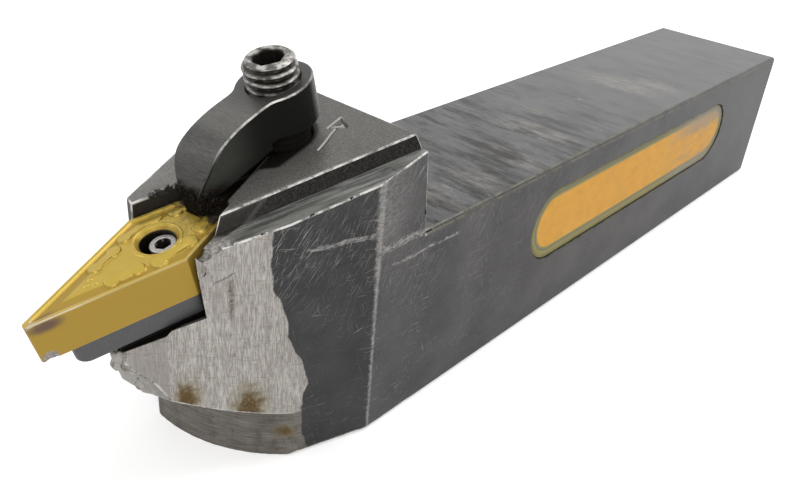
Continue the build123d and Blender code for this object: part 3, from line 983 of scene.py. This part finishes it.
# A chip out of the tip: its place, reach, depth and direction, in the seat frame.
CHIP_PLACE = (14.0, 0.35, -4.5)
CHIP_REACH = 0.8
CHIP_DEPTH = 0.16
CHIP_PULL = (-0.8, -0.2, 0.9)
CHIP_SEED = 5
# The outline's two kinds of corner: distance from the middle and half angle. Then its points.
CORNERS = ((HALF_LONG, HALF_POINT), (HALF_SHORT, math.pi / 2 - HALF_POINT))
NOSE_POINTS = 14
SIDE_POINTS = 84
# Rows of points on the top face, and the distance over which its slope is measured.
TOP_ROWS = 96
SLOPE_STEP = 0.02


def outline():
    """The insert's outline in the seat frame: four sides with round corners."""
    arcs = []
    for quarter in range(4):
        reach, half_angle = CORNERS[quarter % 2]
        heading = quarter * math.pi / 2
        turns = heading + np.linspace(-1, 1, NOSE_POINTS) * (math.pi / 2 - half_angle)
        outward = np.array((math.cos(heading), math.sin(heading)))
        centre = outward * (reach - NOSE_RADIUS / math.sin(half_angle))
        arcs.append(centre + NOSE_RADIUS * np.stack([np.cos(turns), np.sin(turns)], 1))
    share = np.arange(1, SIDE_POINTS)[:, None] / SIDE_POINTS
    points = []
    for here, following in zip(arcs, arcs[1:] + arcs[:1]):
        points += [here, here[-1] + (following[0] - here[-1]) * share]
    return np.concatenate(points)


def ramp(value, low, high):
    """Smooth step from 0 at low to 1 at high."""
    share = np.clip((value - low) / (high - low), 0, 1)
    return share * share * (3 - 2 * share)


def chip_former(a, b):
    """Height of the insert's top face at each point of its plane."""
    inner = (HALF_LONG * HALF_SHORT - np.abs(a) * HALF_SHORT - np.abs(b) * HALF_LONG) / SIDE
    groove = ramp(inner, LAND_WIDTH, LAND_WIDTH + 0.35) * (1 - 0.85 * ramp(inner, 0.9, 1.9))
    height = -GROOVE_DEPTH * groove
    for (first_a, first_b), (last_a, last_b) in PADS:
        run = np.array((last_a - first_a, last_b - first_b))
        length = np.hypot(*run)
        for mirror_a, mirror_b in ((1, 1), (1, -1), (-1, 1), (-1, -1)):
            from_a, from_b = mirror_a * a - first_a, mirror_b * b - first_b
            along = (from_a * run[0] + from_b * run[1]) / length
            across = np.abs(from_a * run[1] - from_b * run[0]) / length
            lobes = np.minimum(np.hypot(along, across), np.hypot(along - length, across)) - PAD_LOBE
            bridge = np.maximum(across - PAD_BRIDGE, np.abs(along - length / 2) - length / 2)
            raised = ramp(-np.minimum(lobes, bridge), -0.04, 0.09)
            height = np.maximum(height, -GROOVE_DEPTH * groove + PAD_HEIGHT * raised)
    for pip_a, pip_b in PIPS:
        height = height + PIP_HEIGHT * ramp(np.hypot(a - pip_a, b - pip_b), 0.3, 0.14)
    from_ring = np.abs(np.hypot(a, b) - INSERT_HOLE_RADIUS - RING_OFF)
    return height + RING_HEIGHT * ramp(from_ring, 0.16, 0.04)


def make_insert():
    """The insert as one closed surface: bore, top with its chip former, flanks and underside."""
    edge = outline()
    angle = np.arctan2(edge[:, 1], edge[:, 0])
    circle = np.stack([np.cos(angle), np.sin(angle)], 1)
    bore = circle * INSERT_HOLE_RADIUS
    mouth = circle * (INSERT_HOLE_RADIUS + HOLE_CHAMFER)
    rings = []

    def add(points, height):
        level = np.broadcast_to(np.asarray(height, float), (len(points),))
        rings.append(np.column_stack([points, level]))

    for height in np.linspace(-INSERT_THICKNESS, -HOLE_CHAMFER, 8):
        add(bore, height)
    for share in (0.5, 1.0):
        add(bore + (mouth - bore) * share, -HOLE_CHAMFER * (1 - share))
    for row in range(1, TOP_ROWS):
        points = mouth + (edge - mouth) * row / TOP_ROWS
        add(points, chip_former(*points.T))
    add(edge, 0.0)
    for height in np.linspace(0, -INSERT_THICKNESS, 20)[1:]:
        add(edge, height)
    for share in (0.97, 0.9, 0.6, 0.3):
        add(bore + (edge - bore) * share, -INSERT_THICKNESS)
    rings = np.array(rings)
    chip = np.array((*CHIP_PLACE[:2], -INSERT_THICKNESS))
    reach = np.linalg.norm(rings - chip, axis=2)
    uneven = np.random.default_rng(CHIP_SEED).uniform(0.35, 1.0, reach.shape)
    pull = (CHIP_DEPTH * uneven * ramp(reach, CHIP_REACH, 0.35))[:, :, None]
    rings = rings + pull * np.array(CHIP_PULL)
    mesh = rings_to_mesh("insert_top", rings, seat_matrix(), closed=True)
    mesh.materials.append(insert_material())
    # Slope of the top, for the painted shade on the chip former.
    crease = mesh.attributes.new("crease", "FLOAT", "POINT")
    a, b, w = rings.reshape(-1, 3).T
    slope_a = chip_former(a + SLOPE_STEP, b) - chip_former(a - SLOPE_STEP, b)
    slope_b = chip_former(a, b + SLOPE_STEP) - chip_former(a, b - SLOPE_STEP)
    slope = np.hypot(slope_a, slope_b) / (2 * SLOPE_STEP)
    crease.data.foreach_set("value", (slope * (w > -HOLE_CHAMFER)).astype(np.float32))
    smooth(mesh, INSERT_ANGLE)
    piece = new_object("insert_coated", mesh)
    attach(piece, "holder")
    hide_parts("insert")


# ---------------------------------------------------------------- clamp screw

AROUND = 72
ROWS_PER_TURN = 12
# The thread's profile: half the crest's width and the flank's width, as shares of half the pitch.
CREST_SHARE = 0.14
FLANK_SHARE = 0.62
# Size of the small faces that close both ends, and the depths of the socket's mouth and point.
TINY = 0.05
SOCKET_MOUTH = 0.25
SOCKET_POINT = 0.4


def thread_radius(height, turn):
    """Radius of the thread at a height, for an angle in turns: a flat-topped 60 degree profile."""
    share = (height / THREAD_PITCH + turn - THREAD_PHASE) % 1.0
    rise = abs(2 * share - 1)
    flat = min(max((rise - CREST_SHARE) / FLANK_SHARE, 0), 1)
    return SCREW_RADIUS - THREAD_DEPTH * flat


def hexagon_radius(across_flats, turn):
    """Radius of a hexagon for an angle in turns."""
    off_flat = (turn * TAU + math.pi / 6) % (math.pi / 3) - math.pi / 6
    return across_flats / 2 / math.cos(off_flat)


def ring_at(height, radius, *shape):
    """A ring of points at a height; radius is a function of shape and an angle in turns."""
    ring = []
    for column in range(AROUND):
        turn = column / AROUND
        reach = radius(*shape, turn)
        ring.append((reach * math.cos(turn * TAU), reach * math.sin(turn * TAU), height))
    return ring


def screw_radius(height, turn):
    """Radius of the thread with its end chamfers."""
    from_end = min(height - SCREW_END, SCREW_TOP - height)
    return min(thread_radius(height, turn), SCREW_RADIUS - SCREW_CHAMFER + from_end)


def make_screw():
    """The clamp screw with its helical thread, end chamfers and hexagon socket."""
    rows = int((SCREW_TOP - SCREW_END) / (THREAD_PITCH / ROWS_PER_TURN))
    rings = [ring_at(SCREW_END, lambda turn: TINY)]
    for row in range(rows + 1):
        height = SCREW_END + (SCREW_TOP - SCREW_END) * row / rows
        rings.append(ring_at(height, screw_radius, height))
    floor = SCREW_TOP - SOCKET_DEPTH
    rings.append(ring_at(SCREW_TOP, hexagon_radius, SOCKET_ACROSS_FLATS + 2 * SOCKET_MOUTH))
    rings.append(ring_at(SCREW_TOP - SOCKET_MOUTH, hexagon_radius, SOCKET_ACROSS_FLATS))
    rings.append(ring_at(floor, hexagon_radius, SOCKET_ACROSS_FLATS))
    rings.append(ring_at(floor - SOCKET_POINT, hexagon_radius, TINY))
    mesh = rings_to_mesh("clamp_screw_thread", rings, seat_matrix(*SCREW_PLACE), closed=False)
    work = bmesh.new()
    work.from_mesh(mesh)
    bmesh.ops.recalc_face_normals(work, faces=work.faces)
    work.to_mesh(mesh)
    work.free()
    mesh.materials.append(screw_material())
    smooth(mesh, SCREW_ANGLE)
    piece = new_object("clamp_screw_threaded", mesh)
    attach(piece, "clamp_screw")
    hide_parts("clamp_screw")


# ---------------------------------------------------------------- marks cut into the holder

# Engraved arrow on the crown, in the seat frame: a curved shaft and a closed head.
ARROW_SHAFT = ((-19.0, 4.11), (-20.0, 3.82), (-21.0, 3.46), (-21.93, 3.10), (-23.1, 2.72))
ARROW_HEAD = ((-22.59, 1.87), (-24.92, 1.61), (-23.92, 3.46), (-22.59, 1.87))
# Width and depth of a stroke, and the width at its bottom as a share of the width at its top.
STROKE_SIZE = (0.68, 0.2, 0.25)
# Worn gap under the shim's outer edge, on the pocket's floor: its ends, then its size as above.
FLOOR_GROOVE = ((-1.2, 5.45), (8.6, 2.35))
FLOOR_GROOVE_SIZE = (1.1, 0.6, 0.85)

# First seeds of the four groups of lumps, which give each lump its own shape.
CROWN_SEED, EDGE_SEED, NOSE_SEED, TOE_SEED = 0, 20, 60, 80
# How round the swollen lumps are: the smallest radius as a share of the size.
NOSE_ROUND = 0.88
TOE_ROUND = 0.9
# Chips: place and half sizes. First on the crown's pocket edge and the ledge's front, in the seat frame.
CROWN_CHIPS = (
    ((-3.2, -4.75, 1.5), (0.55, 0.5, 0.6)),
    ((-4.1, -4.5, 1.45), (0.75, 0.7, 0.7)),
    ((-5.1, -4.25, 1.5), (0.6, 0.75, 0.8)),
    ((-6.0, -3.85, 1.4), (0.6, 0.5, 0.5)),
    ((-1.5, 5.7, -0.1), (1.0, 0.8, 0.75)),
    ((-2.6, 6.35, 0.05), (0.8, 0.55, 0.5)),
    ((-3.9, 6.75, 0.1), (0.8, 0.4, 0.3)),
    ((-2.9, 5.0, 0.3), (0.7, 0.5, 0.5)),
)
# Chips on the ledge's front corner and along the head's edges, in the part's frame.
EDGE_CHIPS = (
    ((60.5, 5.9, 27.6), (0.3, 0.3, 0.8)),
    ((55.2, 8.35, 30.95), (0.45, 0.25, 0.2)),
    ((50.4, 10.2, 32.15), (0.5, 0.2, 0.2)),
    ((46.2, 11.55, 33.25), (0.4, 0.2, 0.2)),
    ((39.4, 9.9, 35.1), (0.22, 0.22, 0.2)),
    ((34.9, 12.7, 28.3), (0.25, 0.25, 0.5)),
    ((61.9, 5.1, 23.1), (0.5, 0.4, 0.3)),
    ((63.9, 4.25, 22.3), (0.6, 0.4, 0.35)),
    ((65.7, 3.4, 21.7), (0.5, 0.45, 0.4)),
    ((67.6, 2.0, 17.3), (0.6, 0.7, 0.8)),
    ((68.3, 1.2, 19.6), (0.5, 0.6, 0.5)),
    ((66.0, 3.2, 14.9), (0.5, 0.5, 0.6)),
    ((20.0, 12.7, 25.4), (0.9, 0.25, 0.2)),
    ((-8.0, 12.7, 25.4), (0.7, 0.2, 0.25)),
    ((-45.0, 12.7, 25.4), (0.8, 0.25, 0.2)),
)
# Swollen lumps on the nose under the insert: place and half sizes, in the part's frame.
NOSE_LUMPS = (
    ((67.8, 1.2, 18.6), (0.95, 0.9, 1.0)),
    ((67.7, 0.8, 17.3), (0.9, 0.8, 0.9)),
    ((66.8, 1.2, 16.1), (0.8, 0.9, 0.7)),
    ((66.0, 0.4, 14.6), (0.9, 1.0, 0.8)),
    ((65.3, 0.7, 13.1), (0.8, 0.9, 0.8)),
    ((64.5, 0.3, 12.0), (0.8, 1.0, 0.7)),
)


def mark_holder(holder):
    """Engraves the arrow, swells the nose, and knocks out the chips and the gap under the shim."""
    crown = seat_matrix(0, 0, CROWN_HEIGHT)
    strokes = []
    for line in (ARROW_SHAFT, ARROW_HEAD):
        for start, end in zip(line, line[1:]):
            strokes.append(groove(start, end, *STROKE_SIZE, crown))
    carve(holder, strokes)
    carve(holder, lumps(NOSE_LUMPS, NOSE_SEED, NOSE_ROUND), "UNION")
    carve(holder, lumps(CROWN_CHIPS, CROWN_SEED, on_seat=True) + lumps(EDGE_CHIPS, EDGE_SEED))
    carve(holder, [groove(*FLOOR_GROOVE, *FLOOR_GROOVE_SIZE, seat_matrix(0, 0, POCKET_FLOOR))])
    smooth(holder.data, SKIN_ANGLE)


# How much higher the clamp's top stands on its +Y side than on its -Y side.
CLAMP_TOP_RISE = 0.5
# Burnt lumps on the clamp's toe: place in the seat frame and half sizes.
TOE_LUMPS = (
    ((-5.5, -1.5, 2.6), (0.55, 0.7, 0.6)),
    ((-5.3, 0.3, 2.1), (0.6, 0.7, 0.6)),
    ((-5.4, 1.0, 1.3), (0.6, 0.6, 0.6)),
    ((-5.1, -0.6, 1.2), (0.5, 0.7, 0.5)),
    ((-5.8, 1.5, 2.5), (0.5, 0.5, 0.6)),
    ((-5.4, -2.0, 1.4), (0.5, 0.6, 0.6)),
    ((-6.4, 1.9, 1.6), (0.6, 0.4, 0.6)),
)


def tilt_clamp_top(clamp):
    """Raises the +Y side of the clamp's upper face, as it was forged."""
    seat = seat_matrix()
    back = seat.inverted()
    for vert in clamp.data.vertices:
        place = back @ vert.co / MM
        across, high = (place.y + 3.5) / 6.0, (place.z - 4.6) / 1.6
        place.z += CLAMP_TOP_RISE * min(max(across, 0), 1) * min(max(high, 0), 1)
        vert.co = seat @ (place * MM)
    clamp.data.update()


# ---------------------------------------------------------------- the other pieces

holder_materials = [holder_material(), worn_edge_material()]
holder_skin = skin("holder_body", "holder", 0.16, holder_materials)
mark_holder(holder_skin)
clamp_skin = skin("clamp", "clamp", 0.17, [clamp_material(), clamp_edge_material()])
tilt_clamp_top(clamp_skin)
grow(clamp_skin, lumps(TOE_LUMPS, TOE_SEED, TOE_ROUND, on_seat=True))
smooth(clamp_skin.data, SKIN_ANGLE)
skin("shim", "holder", 0.08, [shim_material()])
skin("lock_pin", "lock_pin", 0.12, [pin_material()])
skin("side_label", "holder", 0.05, [label_material()])
make_insert()
make_screw()

# ---------------------------------------------------------------- floor, world and lights

# Sizes and places here are in metres, apart from GLOW_REACH.
FLOOR_SIZE = 3.0
WORLD_LIGHT = 0.55
# The floor glows more for the camera further away: from and to, in millimetres, and the two levels.
GLOW_REACH = (100.0, 400.0)
GLOW = (0.38, 0.6)
LAMP_TARGET = Vector((0.03, 0, 0.015))
# Name, place, size and power.
LAMPS = (
    ("key", (-0.35, 0.10, 0.75), 0.5, 2.6),
    ("side", (0.45, 0.70, 0.40), 0.5, 2.6),
    ("left", (0.50, -0.50, 0.45), 0.4, 0.9),
)


def add_floor():
    """A white floor that clips to white where it is lit and keeps the object's soft shadow."""
    mesh = bpy.data.meshes.new("floor")
    half = FLOOR_SIZE / 2
    corners = [(-half, -half, 0), (half, -half, 0), (half, half, 0), (-half, half, 0)]
    mesh.from_pydata(corners, [], [range(4)])
    new_object("floor", mesh)
    s = Shader("floor_white")
    seen = s.nodes.new("ShaderNodeLightPath").outputs["Is Camera Ray"]
    away = s.vector("LENGTH", s.place)
    glow = s.step(away, *GLOW_REACH, *GLOW, "LINEAR")
    mesh.materials.append(s.finish(
        base_color=(0.9, 0.9, 0.9),
        roughness=0.9,
        specular_ior_level=0.0,
        emission_color=(1, 1, 1),
        emission_strength=s.times(seen, glow),
    ))


def add_world():
    """White where the camera and reflections see it, and a plain level of light elsewhere."""
    s = Shader("studio", "worlds", "Background")
    rays = s.nodes.new("ShaderNodeLightPath").outputs
    seen = s.highest(*[rays[f"Is {kind} Ray"] for kind in ("Camera", "Transmission", "Glossy")])
    strength = s.step(seen, 0, 1, WORLD_LIGHT, 1.0, "LINEAR")
    bpy.context.scene.world = s.finish(color=(1, 1, 1), strength=strength)


def add_lamps():
    """Large soft lamps aimed at the head."""
    for name, place, size, power in LAMPS:
        data = bpy.data.lights.new(name, "AREA")
        data.size = size
        data.energy = power
        lamp = new_object(name, data)
        lamp.location = place
        lamp.rotation_euler = (LAMP_TARGET - Vector(place)).to_track_quat("-Z", "Y").to_euler()


add_floor()
add_world()
add_lamps()
add_camera()
bpy.context.scene.view_settings.view_transform = "Standard"
